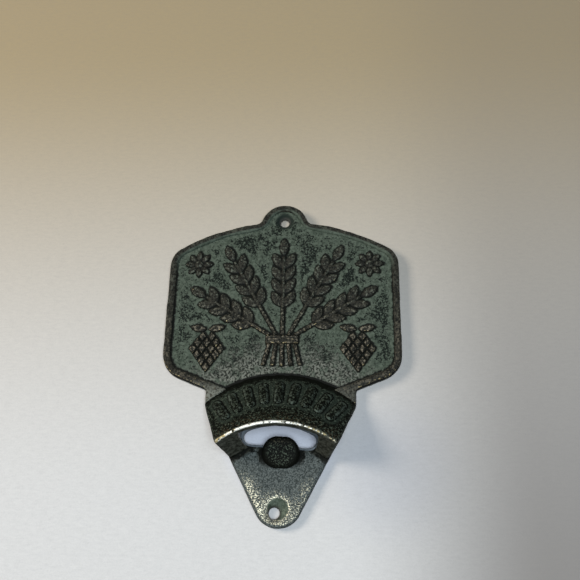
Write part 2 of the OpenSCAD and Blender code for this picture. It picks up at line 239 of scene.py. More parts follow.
def surface(field, low, step):
    """Points, outward quads and the cell of each point, where a sampled field crosses zero."""
    inside = field < 0
    size = np.array(field.shape) - 1
    corners = np.array([(i, j, k) for i in (0, 1) for j in (0, 1) for k in (0, 1)])
    count = sum(inside[i:i + size[0], j:j + size[1], k:k + size[2]].astype(np.int8) for i, j, k in corners)
    cells = np.argwhere((count > 0) & (count < len(corners)))
    number = np.full(size, -1)
    number[tuple(cells.T)] = np.arange(len(cells))
    values = [field[tuple((cells + corner).T)] for corner in corners]
    total = np.zeros((len(cells), 3))
    hits = np.zeros(len(cells))
    for a, start in enumerate(corners):
        for b, end in enumerate(corners):
            if a > b or np.abs(end - start).sum() != 1:
                continue
            crosses = (values[a] < 0) != (values[b] < 0)
            share = values[a] / np.where(crosses, values[a] - values[b], 1)
            total += crosses[:, None] * (start + share[:, None] * (end - start))
            hits += crosses
    quads = []
    for axis in range(3):
        first = np.moveaxis(np.moveaxis(inside, axis, 0)[:-1], 0, axis)
        second = np.moveaxis(np.moveaxis(inside, axis, 0)[1:], 0, axis)
        edges = np.argwhere(first != second)
        side, up = np.eye(3, dtype=int)[[(axis + 1) % 3, (axis + 2) % 3]]
        around = [edges - side - up, edges - up, edges, edges - side]
        quad = np.stack([number[tuple(cell.T)] for cell in around], axis=1)
        leaving = first[tuple(edges.T)]
        quads.append(np.where(leaving[:, None], quad, quad[:, ::-1]))
    quads = np.concatenate(quads)
    if quads.min() < 0:
        raise ValueError("a shape reaches the edge of its samples")
    return np.array(low) + step * (cells + total / hits[:, None]), quads, cells


def convexity(field, step):
    """How far a surface stands out from its softened self: up to 1 on edges, below 0 in creases."""
    return np.clip((soften(field, RUB_REACH / step) - field) / RUB_DEPTH, -1, 1)


def make_piece(node, field, axes, finish, marks):
    """Meshes a field as the piece that stands for a CAD node, with marks that its finish reads."""
    material, slot = finish
    step = axes[0][1] - axes[0][0]
    points, quads, cells = surface(field, [axis[0] for axis in axes], step)
    places = np.stack([points[:, 0], -points[:, 1], points[:, 2]], axis=1) * MM
    places = np.clip(places, cad_low, cad_high)
    mesh = bpy.data.meshes.new(node)
    mesh.from_pydata(places.tolist(), [], quads[:, ::-1].tolist())
    for name, mark in marks.items():
        values = np.broadcast_to(mark, field.shape)[tuple(cells.T)]
        mesh.attributes.new(name, "FLOAT", "POINT").data.foreach_set("value", values)
    mesh.shade_smooth()
    mesh.materials.append(material)
    piece = bpy.data.objects.new(node + "_cast", mesh)
    bpy.context.collection.objects.link(piece)
    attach(piece, "root")
    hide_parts(node)


# Castings: plate, rim, hood and tooth share one softened surface and are parted where their solids meet

def dish(u, p, v):
    """Bowl sunk into the front of the plate around the lower screw hole."""
    ball_r = (DISH_R * DISH_R + DISH_DEPTH * DISH_DEPTH) / (2 * DISH_DEPTH)
    middle = plate_t + ball_r - DISH_DEPTH
    return np.sqrt((u - DISH_PLACE[0]) ** 2 + (v - DISH_PLACE[1]) ** 2 + (p - middle) ** 2) - ball_r


def over_plate(u, p, v):
    """Height over the front of the plate, for a whole block."""
    return p - plate_t + 0 * u + 0 * v


def over_hood(u, p, v):
    """Height over the hood's cone."""
    apart = np.hypot(u, v - hood_axis) - HOOD_ROOT_R + cone_slope * (p - plate_t)
    return apart * math.cos(math.atan(cone_slope))


def under_lip(u, p, v):
    """Distance to the scoop's cone, negative within the scoop."""
    point_p = plate_t - SCOOP_DEPTH
    lip = hood_top - LIP_DROP
    y = v - lip + (hood_depth - point_p) * math.tan(SCOOP_TILT)
    z = p - point_p
    turn = SCOOP_ANGLE - SCOOP_TILT
    along = z * math.cos(turn) - y * math.sin(turn)
    across = np.hypot(u, z * math.sin(turn) + y * math.cos(turn))
    return across * math.cos(SCOOP_ANGLE) - along * math.sin(SCOOP_ANGLE)


def casting_fields(axes):
    """Signed distances to the four main solids."""
    us, ps, vs = axes
    u, p, v = spread_out(us, ps, vs)
    plate = between(outline_distance("back_plate", us, vs), p, 0, plate_t)
    for name in ("upper_screw_hole", "lower_screw_hole"):
        centre_u, _, centre_v = np.array(mounts[name]["pos_m"]) / MM
        apart = np.hypot(u - centre_u, v - centre_v)
        ring_r = mounts[name]["dims"]["r_mm"] + RING_GAP
        ring = between(np.abs(apart - ring_r) - RING_W / 2, p, 0, RING_TOP)
        sink = (apart - SINK_R + plate_t - p) / math.sqrt(2)
        plate = np.maximum(np.minimum(plate, ring), -sink)
    plate = np.maximum(plate, -dish(u, p, v))
    rim_outline = outline_distance("raised_rim", us, vs, share=0.9)
    rim = between(rim_outline, p, plate_t, box_mm("raised_rim")[1][1])
    _, tooth_p, tooth_v = box_mm("cap_tooth")[1]
    height = p + (tooth_v - v) * math.tan(TOOTH_SLOPE)
    tooth_outline = outline_distance("cap_tooth", us, vs, share=0.1)
    core = between(tooth_outline + TOOTH_ROUND, height, 0, tooth_p - TOOTH_ROUND)
    return {
        "back_plate": plate,
        "raised_rim": rim,
        "cap_tooth": np.maximum(core - TOOTH_ROUND, plate_t - p),
        "hood": node_distance("hood", us, ps, vs),
    }


def nearest_relief(us, vs):
    """Distance along the plate to the nearest raised part."""
    raised = [name for name in frame["nodes"] if name not in ("back_plate", "hood", "hood_lobes")]
    fields = [outline_distance(name, us, vs) for name in raised]
    fields.append(node_distance("hood", us, np.array([plate_t]), vs))
    return np.maximum(np.minimum.reduce(fields), 0)


def cast(axes, looks):
    """Makes the named pieces of the casting within a block of samples.

    The solids are softened as one, and a piece is what lies nearer to its own solid than to the others.
    """
    us, ps, vs = axes
    step = us[1] - us[0]
    block = spread_out(us, ps, vs)
    fields = casting_fields(axes)
    whole = soften(np.minimum.reduce(list(fields.values())), SOFT_EDGE / step)
    whole = whole + lumps(*block) + LUMP
    marks = {
        # Convexity, where both rubbing and painted highlights go
        "rub_and_highlight": convexity(whole, step),
        "gap": nearest_relief(us, vs),
        "inset": -outline_distance("back_plate", us, vs, INSET_FAR),
        "lip": np.hypot(over_hood(*block), under_lip(*block)),
        "scoop": np.abs(under_lip(*block)),
        "lobe": np.maximum(-relief_h * lobe_height(block[0], block[2]), 0),
    }
    for node, (finish, needed) in looks.items():
        others = np.minimum.reduce([field for name, field in fields.items() if name != node])
        part = np.maximum(whole, fields[node] - others)
        make_piece(node, part, axes, finish, {name: marks[name] for name in needed})


# Ornament: domed shapes given by their height over the ground

def turned(x, y, angle):
    """Places across and along a direction, given clockwise from straight up."""
    return x * math.cos(angle) - y * math.sin(angle), x * math.sin(angle) + y * math.cos(angle)


def dome(distance, reach):
    """Rounded height over an outline, full at a depth inside it and falling away outside."""
    depth = np.clip(-distance / reach, 0, 1)
    return np.where(distance < 0, np.sqrt(1 - (1 - depth) ** 2), -distance / relief_h)


def leaf_distance(x, y, length, width):
    """Distance to a pointed oval that stands on its point."""
    bow = (length * length + width * width) / (4 * width)
    inset = bow - width / 2
    x = np.abs(x)
    y = np.abs(y - length / 2)
    past_tip = (y - length / 2) * inset > x * length / 2
    return np.where(past_tip, np.hypot(x, y - length / 2), np.hypot(x + inset, y) - bow)


def leaf_height(x, y, length, width, foot):
    """Dome over a pointed oval, lower at its foot, with a groove along its middle."""
    rise = foot + (1 - foot) * np.clip(y / length, 0, 1)
    height = dome(leaf_distance(x, y, length, width), width / 2)
    cut = GROOVE_DEPTH * np.exp(-(x / GROOVE_W) ** 2)
    return np.where(height > 0, height * (rise - cut), height)


def bar_height(x, y, half_w, half_l):
    """Rounded height over a straight bar about the origin."""
    return dome(np.maximum(np.abs(x) - half_w, np.abs(y) - half_l), min(half_w, half_l))


def ear_height(u, v, place):
    """Barley ear, counted to the right of the middle one, with grains in pairs and one at the tip."""
    length, bare = EAR_LENGTHS[abs(place)], BARE_LENGTHS[abs(place)]
    x, y = turned(u - place * STEM_PITCH, v - tie_top, place * EAR_STEP)
    tip = length - GRAIN_L
    height = np.maximum(STEM_RISE * bar_height(x, y - tip / 2, STEM_W / 2, tip / 2), -1)
    height = np.maximum(height, leaf_height(x, y - tip, GRAIN_L, GRAIN_W, GRAIN_FOOT))
    for pair in range(1, GRAIN_PAIRS + 1):
        foot = tip - pair * (tip - bare) / GRAIN_PAIRS
        for side in (-1, 1):
            grain = turned(x - side * STEM_W / 4, y - foot, side * GRAIN_ANGLE)
            height = np.maximum(height, leaf_height(*grain, GRAIN_L, GRAIN_W, GRAIN_FOOT))
    return height


def straw_height(u, v):
    """Straws that spread out below the tie, one for each ear."""
    low = box_mm("sheaf_tie")[0][2]
    height = -1
    for place in EAR_PLACES:
        x, y = turned(u - place * STEM_PITCH, v - low, -place * STRAW_STEP)
        height = np.maximum(height, bar_height(x, y + STRAW_L / 2, STEM_W / 2, STRAW_L / 2))
    return height


def tie_height(u, v):
    """Band of cords around the sheaf."""
    low, high = box_mm("sheaf_tie")
    half_w, half_h = (high[0] - low[0]) / 2, (high[2] - low[2]) / 2
    y = v - (low[2] + high[2]) / 2
    turns = TIE_CORDS * (y / (2 * half_h) + 0.5)
    cords = 1 - CORD_DEPTH - CORD_DEPTH * np.cos(2 * math.pi * turns)
    height = bar_height(u, y, half_w, half_h)
    return np.where(height > 0, height * cords, height)


def hop_height(u, v, side):
    """Hop cone with staggered scales, each raised at its lower point, and two leaves above."""
    low, high = box_mm("hop_cone_right")
    step_x, step_y = SCALE_W + SCALE_GAP, (SCALE_H + SCALE_GAP) / 2
    top = low[2] + (len(SCALES_IN_ROW) - 1) * step_y + SCALE_H
    u = side * u - (low[0] + high[0]) / 2
    edge = SCALE_W * SCALE_H / 2 / math.hypot(SCALE_W, SCALE_H)
    height = -1
    for row, scales in enumerate(SCALES_IN_ROW):
        for i in range(scales):
            x = u - (i - (scales - 1) / 2) * step_x
            y = v - top + row * step_y + SCALE_H / 2
            away = np.abs(x) / (SCALE_W / 2) + np.abs(y) / (SCALE_H / 2) - 1
            tilt = 1 - SCALE_TILT - SCALE_TILT * np.clip(y / (SCALE_H / 2), -1, 1)
            scale = dome(away * edge, edge) * tilt
            height = np.maximum(height, scale)
    for way in (-1, 1):
        leaf = turned(u - way * SCALE_GAP / 2, v - top - SCALE_GAP, way * HOP_LEAF_ANGLE)
        height = np.maximum(height, leaf_height(*leaf, HOP_LEAF_L, HOP_LEAF_W, HOP_LEAF_FOOT))
    return height


def rosette_height(u, v, side):
    """Rosette with a domed eye and a ring of petals."""
    low, high = box_mm("rosette_right")
    x, y = side * u - (low[0] + high[0]) / 2, v - (low[2] + high[2]) / 2
    height = dome(np.hypot(x, y) - EYE_R, EYE_R)
    for i in range(PETALS):
        across, along = turned(x, y, 2 * math.pi * i / PETALS)
        petal = leaf_height(across, along - EYE_R + PETAL_W / 4, PETAL_L, PETAL_W, PETAL_FOOT)
        height = np.maximum(height, petal)
    return height


def lobe_height(u, v):
    """Row of lobes that fans out over the hood."""
    far = HOOD_ROOT_R - LOBE_DROP - LOBE_W / 2
    near = far - LOBE_L + LOBE_W
    height = -FAR / relief_h
    for i in range(LOBES):
        x, y = turned(u, v - hood_axis, -(i - (LOBES - 1) / 2) * LOBE_STEP)
        apart = np.hypot(x, y - np.clip(y, near, far)) - LOBE_W / 2
        height = np.maximum(height, dome(apart, LOBE_ROUND))
    return height


def raise_ornament(node, height, over, finish):
    """Makes an ornament of a given height over the plate or the hood, sunk into it a little."""
    axes = samples(*box_mm(node), RELIEF_STEP, SINK + RELIEF_MARGIN_STEPS * RELIEF_STEP)
    u, p, v = spread_out(*axes)
    ground = over(u, p, v) + lumps(u, p, v)
    top = ground - relief_h * height(u, v)
    make_piece(node, np.maximum(top, -SINK - ground), axes, finish, {
        "rub_and_highlight": convexity(top, RELIEF_STEP),
        "lip": np.hypot(over_hood(u, p, v), under_lip(u, p, v)),
        "scoop": np.abs(under_lip(u, p, v)),
        # An ornament isn't ground beside a lobe, so it lies far from them
        "lobe": np.array(FAR),
    })


# Finishes

def linear(red, green, blue):
    """Colour for a shader from one in screen values up to 255."""
    shares = [value / 255 for value in (red, green, blue)]
    return [s / 12.92 if s <= 0.04045 else ((s + 0.055) / 1.055) ** 2.4 for s in shares] + [1.0]


# Colours of the paint and its darker tones, of bronze, iron and bare metal, of the worn edges, and of
# painted shade, highlights and light
PAINT_LIGHT, PAINT_DARK = linear(85, 93, 80), linear(59, 67, 56)
# The black wax is also used as painted shade in creases and at the feet of raised parts.
SHADE, WAX_AND_SHADE, HOLE_GREEN = linear(14, 19, 14), linear(10, 11, 7), linear(34, 41, 35)
BROWN, COPPER, SIDE_GREY = linear(48, 46, 38), linear(73, 64, 48), linear(84, 83, 78)
GUNMETAL, FLAT_GREEN, EDGE_HIGHLIGHT_GREEN = linear(80, 88, 74), linear(46, 53, 45), linear(82, 90, 79)
CHEEK_DARK_AND_SHADE, CHEEK_LIGHT, POCKET_PAINTED_LIGHT = linear(40, 40, 33), linear(80, 80, 70), linear(112, 118, 122)
RUBBED_DARK, RUBBED_LIGHT = linear(33, 35, 29), linear(114, 115, 104)
STEEL_DARK, STEEL_LIGHT = linear(44, 49, 47), linear(97, 102, 98)
WORN_GREEN, WORN_BROWN_HIGHLIGHT = linear(92, 95, 82), linear(120, 111, 94)
GOLD, BRASS_GLINT, LIP_HIGHLIGHT_WHITE = linear(168, 152, 112), linear(228, 220, 190), linear(248, 245, 232)

# Characters of noise, as its detail and roughness
SOFT, ROUND, CRISP, FINE = (2.0, 0.6), (1.0, 0.6), (2.0, 0.7), (3.0, 0.75)
RAGGED, PATCHY, CLOUDY = (3.0, 0.7), (3.0, 0.6), (4.0, 0.7)
# Sizes of noise: speckle and its patches, mottled paint, tatters, wear, flecks, bare metal and clouds
SPECK, HOOD_SPECK, PATCH = 0.55, 0.66, 7.0
MOTTLE, TATTER, WEAR = 1.4, 1.5, 0.9
FLECK, GLINT = 0.36, 0.8
STEEL_GRAIN, RUB_GRAIN, RUB_PATCH, RIM_GRAIN = 0.4, 0.75, 2.0, 0.7
CLOUD = 4.0
# Sand grain of the castings: its fine and coarse sizes, the share of the coarse one, and its depth
FINE_SAND, COARSE_SAND, COARSE_SHARE, SAND_DEPTH = 0.6, 1.8, 0.8, 0.2

# Each pair below says where a finish starts and where it is full.
# Heights up the opener: the sign, whose lower part gets painted highlights, the rim's ends, the sheltered
# part below the hood with its painted shade and light, and the tail
UPPER_SIGN, LOWER_SIGN, RIM_END = (-22.0, -12.0), (-25.0, -50.0), (-60.0, -66.0)
SHELTER_TOP, SHELTER_FOOT = (-73.0, -77.0), (-91.0, -86.0)
TAIL, TAIL_FLECKS = (-80.0, -86.0), (-89.0, -97.0)
# Distances from the raised parts: open ground, and the painted shade, in part dark wax, by the cheeks, in
# creases and at the foot of the relief
OPEN_GROUND, BY_CHEEK, BY_CREASE, BY_FOOT = (1.0, 2.6), (2.2, 1.0), (3.4, 0.4), (1.35, 0.85)
# Distances from the plate's edge: ground by the rim, the rim and its paint, flecked edge with its painted
# highlights, wall of the slot with its painted light
BY_RIM, ON_RIM, PAINTED_RIM = (4.6, 3.6), (0.05, 0.3), (1.9, 2.5)
BY_EDGE, OFF_EDGE, SLOT_WALL = (6.5, 0.8), (0.2, 0.9), (1.3, 0.8)
# Places across: the slot and the pocket with their painted light, on both sides, and what is stronger at
# the left: painted glints on the tail and rubbed ends of the rim
SLOT_SIDES, POCKET_SIDES = (14.0, 13.0), (17.0, 15.0)
GLINTS_LEFT, RIM_LEFT = (26.0, -6.0), (60.0, -40.0)
# Heights over the wall, and over the front of the plate, where the foot of the relief and of the hood are
# black with painted shade
OFF_BACK, AT_FRONT = (0.1, 0.5), (1.2, 2.2)
RELIEF_FOOT, HOOD_FOOT_SHADE = (0.5, 0.2), (2.2, 1.0)
# Distances beyond the hood's root: rubbed ground, black line of painted shade and dark wax along the arch,
# root with the same, and pocket in the cone with its painted light
ABOVE_HOOD, ARCH_TOP, ARCH_FOOT = (16.0, 4.0), (-1.8, -2.6), (-3.0, -1.0)
HOOD_ROOT, IN_POCKET = (-1.4, 0.6), (-2.0, -3.5)
# Distances from the scoop, the lip and the lobes of the hood, which get painted shade at their foot
IN_SCOOP, OFF_SCOOP, GOLDEN_LIP = (0.9, 0.4), (0.6, 1.2), (6.0, 1.5)
OFF_LOBE, BY_LOBE, LOBE_FOOT = (0.25, 0.5), (1.8, 1.0), (0.3, 0.1)
# Distances around the holes: flecked ring of painted highlights and bowl of the dish, and the upper
# countersink
DISH_RING, DISH_BOWL = (DISH_R + 2.2, DISH_R), (DISH_R, DISH_R - 0.4)
UPPER_SINK = (SINK_R + 0.3, SINK_R - 0.7)
# Lengths by which ragged noise moves the painted shade along the arch, at the foot of the relief, at the
# hood's root and where the hood meets the plate
ARCH_TATTER, FOOT_TATTER, ROOT_TATTER, HOOD_FOOT_TATTER = 5.0, 1.4, 4.0, 2.0
# Worn lip with its painted highlight: its width and what it gains, its places across, and the middle of its
# white part
LIP_W, LIP_GAIN, LIP_MIDDLE = 0.95, 0.2, -4.0
LIP_CENTRE, LIP_LEFT, LIP_RIGHT = (16.0, 6.0), (-8.0, -15.0), (-2.0, 16.0)
# Face of the tooth beyond its half height, outside which painted shade keeps it black, and golden part from
# its middle to its top
TOOTH_FACE, TOOTH_GOLD = (0.6, -1.8), (1.0, -1.0)


class Finish:
    """Material with helpers that make its nodes. Lengths are in millimetres."""

    def __init__(self, name):
        self.material = bpy.data.materials.new(name)
        self.material.use_nodes = True
        self.tree = self.material.node_tree
        self.shader = self.tree.nodes["Principled BSDF"]
        place = self.add("ShaderNodeTexCoord").outputs["Object"]
        scaled = self.add("ShaderNodeVectorMath", operation="SCALE")
        self.feed(scaled.inputs["Vector"], place)
        self.feed(scaled.inputs["Scale"], 1 / MM)
        self.place = scaled.outputs["Vector"]
        axes = self.add("ShaderNodeSeparateXYZ", self.place)
        self.u, self.v = axes.outputs["X"], axes.outputs["Z"]
        self.p = self.math("MULTIPLY", axes.outputs["Y"], -1.0)

    def add(self, kind, *inputs, **settings):
        """New node with its settings, and with its first inputs fed in order."""
        node = self.tree.nodes.new(kind)
        for key, value in settings.items():
            setattr(node, key, value)
        for socket, value in zip(node.inputs, inputs):
            self.feed(socket, value)
        return node

    def feed(self, socket, value):
        """Links an output to a socket, or sets a plain value on it."""
        if isinstance(value, bpy.types.NodeSocket):
            self.tree.links.new(value, socket)
        else:
            socket.default_value = value

    def math(self, operation, a, b=0.0):
        """Result of one math node."""
        return self.add("ShaderNodeMath", a, b, operation=operation).outputs[0]

    def plus(self, a, b):
        """Sum of two values."""
        return self.math("ADD", a, b)

    def minus(self, a, b):
        """Difference of two values."""
        return self.math("SUBTRACT", a, b)

    def times(self, first, *others):
        """Product of values."""
        for other in others:
            first = self.math("MULTIPLY", first, other)
        return first

    def either(self, a, b):
        """Larger of two values."""
        return self.math("MAXIMUM", a, b)

    def sideways(self):
        """Distance to the left or right of the middle."""
        return self.math("ABSOLUTE", self.u)

    def attribute(self, name):
        """Mark that a piece carries at its points."""
        return self.add("ShaderNodeAttribute", attribute_name=name).outputs["Fac"]

    def noise(self, size, character=SOFT, place=None):
        """Noise from 0 to 1 with lumps of a given size."""
        detail, roughness = character
        node = self.add("ShaderNodeTexNoise")
        self.feed(node.inputs["Vector"], place or self.place)
        self.feed(node.inputs["Scale"], 1 / size)
        self.feed(node.inputs["Detail"], detail)
        self.feed(node.inputs["Roughness"], roughness)
        return node.outputs["Fac"]

    def band(self, value, start, full):
        """Smooth change from 0 where a value is at its start to 1 where it is full."""
        node = self.add("ShaderNodeMapRange", value, start, full, 0.0, 1.0, interpolation_type="SMOOTHSTEP")
        return node.outputs["Result"]

    def specks(self, size, cut, character=SOFT):
        """Spots of a noise, cut off between two levels."""
        return self.band(self.noise(size, character), *cut)

    def more_where(self, noise, where, amount, cut):
        """Spots of a noise, cut off between two levels, that grow by an amount where a value is 1."""
        return self.band(self.plus(noise, self.times(where, amount)), *cut)

    def mix(self, factor, first, second):
        """Colour that goes from the first at 0 to the second at 1."""
        node = self.add("ShaderNodeMix", data_type="RGBA")
        self.feed(node.inputs["Factor"], factor)
        for name, value in (("A", first), ("B", second)):
            self.feed(next(s for s in node.inputs if s.name == name and s.type == "RGBA"), value)
        return next(s for s in node.outputs if s.type == "RGBA")

    def facing_up(self):
        """Upward part of the surface's direction."""
        normal = self.add("ShaderNodeNewGeometry").outputs["Normal"]
        return self.add("ShaderNodeSeparateXYZ", normal).outputs["Z"]

    def from_point(self, centre):
        """Distance to a place (u, v), seen from the front."""
        flat = self.add("ShaderNodeCombineXYZ", self.u, 0.0, self.v).outputs["Vector"]
        node = self.add("ShaderNodeVectorMath", flat, (centre[0], 0.0, centre[1]), operation="DISTANCE")
        return node.outputs["Value"]

    def beyond_root(self):
        """Distance beyond the arch along which the hood meets the plate."""
        return self.minus(self.from_point((0.0, hood_axis)), HOOD_ROOT_R)

    def look(self, colour, roughness, gloss, metal=0.0):
        """Sets the shader's colour, roughness, specular level and metalness."""
        self.feed(self.shader.inputs["Base Color"], colour)
        self.feed(self.shader.inputs["Roughness"], roughness)
        self.feed(self.shader.inputs["Specular IOR Level"], gloss)
        self.feed(self.shader.inputs["Metallic"], metal)

    def sand(self, strength):
        """Bump of the sand mould, from fine and coarse grain."""
        coarse = self.times(self.noise(COARSE_SAND), COARSE_SHARE)
        node = self.add("ShaderNodeBump")
        self.feed(node.inputs["Strength"], strength)
        self.feed(node.inputs["Distance"], SAND_DEPTH * MM)
        self.feed(node.inputs["Height"], self.plus(self.noise(FINE_SAND, RAGGED), coarse))
        self.feed(self.shader.inputs["Normal"], node.outputs["Normal"])


def paint(f):
    """Mottled green paint."""
    return f.mix(f.specks(MOTTLE, (0.35, 0.65), RAGGED), PAINT_DARK, PAINT_LIGHT)


def worn_paint(f, gap, speck, green):
    """Green paint that is rubbed to dark speckle in patches of the open ground."""
    open_patches = f.times(f.band(gap, *OPEN_GROUND), f.specks(PATCH, (0.34, 0.56)))
    worn = f.more_where(speck, open_patches, amount=0.17, cut=(0.57, 0.66))
    return f.mix(worn, green, SHADE)


def bare_metal(f, ground, beyond, tail):
    """Rubbed metal that shows above the hood and on the tail."""
    rubbed = f.times(f.band(beyond, *ABOVE_HOOD), f.specks(RUB_PATCH, (0.3, 0.62), PATCHY))
    bare = f.mix(f.specks(RUB_GRAIN, (0.42, 0.58)), RUBBED_DARK, RUBBED_LIGHT)
    steel = f.mix(f.specks(STEEL_GRAIN, (0.36, 0.64), CRISP), STEEL_DARK, STEEL_LIGHT)
    return f.mix(tail, f.mix(rubbed, ground, bare), steel)


def wax_and_shade_in_creases(f, ground, gap, inset, beyond, sheltered):
    """Painted shade, in part dark wax: dark by the cheeks, black by them and the tooth, along the hood's
    arch and at the foot of the relief.
    """
    ragged = f.noise(MOTTLE, RAGGED)
    # Painted shade on the plate beside the cheeks, below the hood
    ground = f.mix(f.times(sheltered, f.band(gap, *BY_CHEEK)), ground, CHEEK_DARK_AND_SHADE)
    # Black painted shade in the creases below the hood
    crease = f.more_where(ragged, f.band(gap, *BY_CREASE), amount=0.24, cut=(0.64, 0.7))
    ground = f.mix(f.times(sheltered, crease), ground, WAX_AND_SHADE)
    # Black painted shade, with dark wax in part, along the hood's arch
    ragged_arch = f.minus(beyond, f.times(ragged, ARCH_TATTER))
    along_arch = f.times(f.band(ragged_arch, *ARCH_TOP), f.band(beyond, *ARCH_FOOT))
    ground = f.mix(along_arch, ground, WAX_AND_SHADE)
    upper_rim = f.times(f.band(inset, *BY_RIM), f.band(f.v, *UPPER_SIGN))
    # Black at the foot of the relief, but not by the painted upper rim: dark wax and painted shade
    ragged_gap = f.plus(gap, f.times(ragged, FOOT_TATTER))
    foot = f.times(f.band(ragged_gap, *BY_FOOT), f.minus(1.0, upper_rim))
    return f.mix(foot, ground, WAX_AND_SHADE)


def tail_flecks_and_glints(f, inset):
    """Bright flecks around the lower hole and along the tail's edge, worn metal with painted highlights,
    where the left has more of them.
    """
    edge = f.times(f.band(inset, *BY_EDGE), f.band(inset, *OFF_EDGE))
    edge = f.times(edge, f.band(f.v, *TAIL_FLECKS), f.band(f.u, *GLINTS_LEFT))
    bright = f.either(edge, f.band(f.from_point(DISH_PLACE), *DISH_RING))
    return f.times(f.more_where(f.noise(FLECK, ROUND), bright, amount=0.11, cut=(0.6, 0.7)), bright)


def raw_casting(f, speck):
    """Unpainted sides of the plate, and its back with black specks."""
    sides = f.mix(f.noise(CLOUD, CLOUDY), BROWN, SIDE_GREY)
    back = f.mix(f.band(speck, 0.5, 0.66), sides, WAX_AND_SHADE)
    return f.mix(f.band(f.p, *OFF_BACK), back, sides)


def patina_finish():
    """Plate: green paint by the relief, dark speckle in the open, bare steel on the tail and a raw back."""
    f = Finish("green_patina")
    gap, inset = f.attribute("gap"), f.attribute("inset")
    speck = f.noise(SPECK, CRISP)
    green = paint(f)
    beyond = f.beyond_root()
    tail = f.band(f.v, *TAIL)
    sheltered = f.times(f.band(f.v, *SHELTER_FOOT), f.band(f.v, *SHELTER_TOP))
    glint = tail_flecks_and_glints(f, inset)

    ground = worn_paint(f, gap, speck, green)
    ground = bare_metal(f, ground, beyond, tail)
    ground = wax_and_shade_in_creases(f, ground, gap, inset, beyond, sheltered)
    # Painted highlights: bright flecks of worn metal along the tail's edge and round the dish
    ground = f.mix(glint, ground, BRASS_GLINT)
    ground = f.mix(f.band(f.from_point(DISH_PLACE), *DISH_BOWL), ground, green)
    ground = f.mix(f.band(f.from_point(UPPER_HOLE), *UPPER_SINK), ground, HOLE_GREEN)

    colour = f.mix(f.band(f.p, *AT_FRONT), raw_casting(f, speck), ground)
    # Painted light: the wall of the slot is lifted to a pale bluish grey
    slot_wall = f.times(f.band(inset, *SLOT_WALL), f.band(f.sideways(), *SLOT_SIDES))
    slot_wall = f.times(slot_wall, sheltered, f.band(f.p, *OFF_BACK))
    colour = f.mix(slot_wall, colour, POCKET_PAINTED_LIGHT)
    f.look(colour, roughness=f.minus(0.7, f.times(glint, 0.35)), gloss=0.1, metal=f.times(tail, 0.3))
    f.sand(strength=0.6)
    return f.material


def bronze_finish():
    """Rim and ornament: dark bronze, black at its foot with dark wax and painted shade, with worn specks on
    top that are a painted highlight lower down, and golden flecks below that are painted highlights.
    """
    f = Finish("rubbed_bronze")
    rub_and_highlight, inset = f.attribute("rub_and_highlight"), f.attribute("inset")
    lower_sign = f.band(f.v, *LOWER_SIGN)
    metal = f.mix(f.specks(SPECK, (0.4, 0.6), CRISP), WAX_AND_SHADE, BROWN)
    worn = f.times(f.band(rub_and_highlight, -0.1, 0.6), f.specks(WEAR, (0.5, 0.62), RAGGED))
    worn = f.times(worn, f.minus(1.0, f.times(f.band(inset, *ON_RIM), 0.6)))
    # The worn specks are lighter and warmer on the lower sign: painted highlight
    colour = f.mix(worn, metal, f.mix(lower_sign, WORN_GREEN, WORN_BROWN_HIGHLIGHT))

    # Golden flecks on faces turned down on the lower sign: painted highlights
    under = f.times(f.band(f.facing_up(), -0.2, -0.5), lower_sign)
    flecks = f.more_where(f.noise(GLINT, ROUND), under, amount=0.2, cut=(0.76, 0.83))
    glint = f.times(flecks, f.band(rub_and_highlight, 0.1, 0.5))
    colour = f.mix(glint, colour, GOLD)
    rim_end = f.times(f.band(f.v, *RIM_END), f.specks(RIM_GRAIN, (0.4, 0.52), RAGGED))
    colour = f.mix(f.times(rim_end, f.band(f.u, *RIM_LEFT)), colour, RUBBED_LIGHT)
    # Black at the foot of the relief: dark wax and painted shade
    colour = f.mix(f.band(f.minus(f.p, plate_t), *RELIEF_FOOT), colour, WAX_AND_SHADE)
    painted = f.times(f.band(inset, *PAINTED_RIM), f.band(f.v, *UPPER_SIGN))
    colour = f.mix(painted, colour, paint(f))
    f.look(colour, roughness=f.minus(0.6, f.times(worn, 0.15)), gloss=0.1, metal=f.times(glint, 0.6))
    f.sand(strength=0.6)
    return f.material


def hood_metal(f, ragged, lip, beyond):
    """Dark metal with green between the lobes, rubbed edges with a painted highlight, gold near the lip,
    and black of painted shade and dark wax at the lobes' foot and the root.
    """
    speck = f.noise(HOOD_SPECK, RAGGED)
    lobe = f.attribute("lobe")
    metal = f.mix(f.band(speck, 0.52, 0.64), WAX_AND_SHADE, GUNMETAL)
    flat = f.times(f.band(lobe, *OFF_LOBE), f.band(lobe, *BY_LOBE))
    metal = f.mix(f.times(flat, f.band(speck, 0.6, 0.42)), metal, FLAT_GREEN)
    # Black at the foot of the lobes: painted shade, with dark wax in part
    metal = f.mix(f.band(lobe, *LOBE_FOOT), metal, WAX_AND_SHADE)
    # Rubbed edges lighter in green-grey: painted highlight on worn metal
    rubbed = f.times(f.band(f.attribute("rub_and_highlight"), 0.5, 1.0), f.band(ragged, 0.46, 0.62))
    metal = f.mix(rubbed, metal, EDGE_HIGHLIGHT_GREEN)
    golden = f.times(f.band(lip, *GOLDEN_LIP), f.specks(SPECK, (0.54, 0.64)))
    metal = f.mix(golden, metal, COPPER)
    # Black at the hood's root: painted shade, with dark wax in part
    root = f.band(f.plus(beyond, f.times(ragged, ROOT_TATTER)), *HOOD_ROOT)
    return f.mix(f.times(root, 0.9), metal, WAX_AND_SHADE)


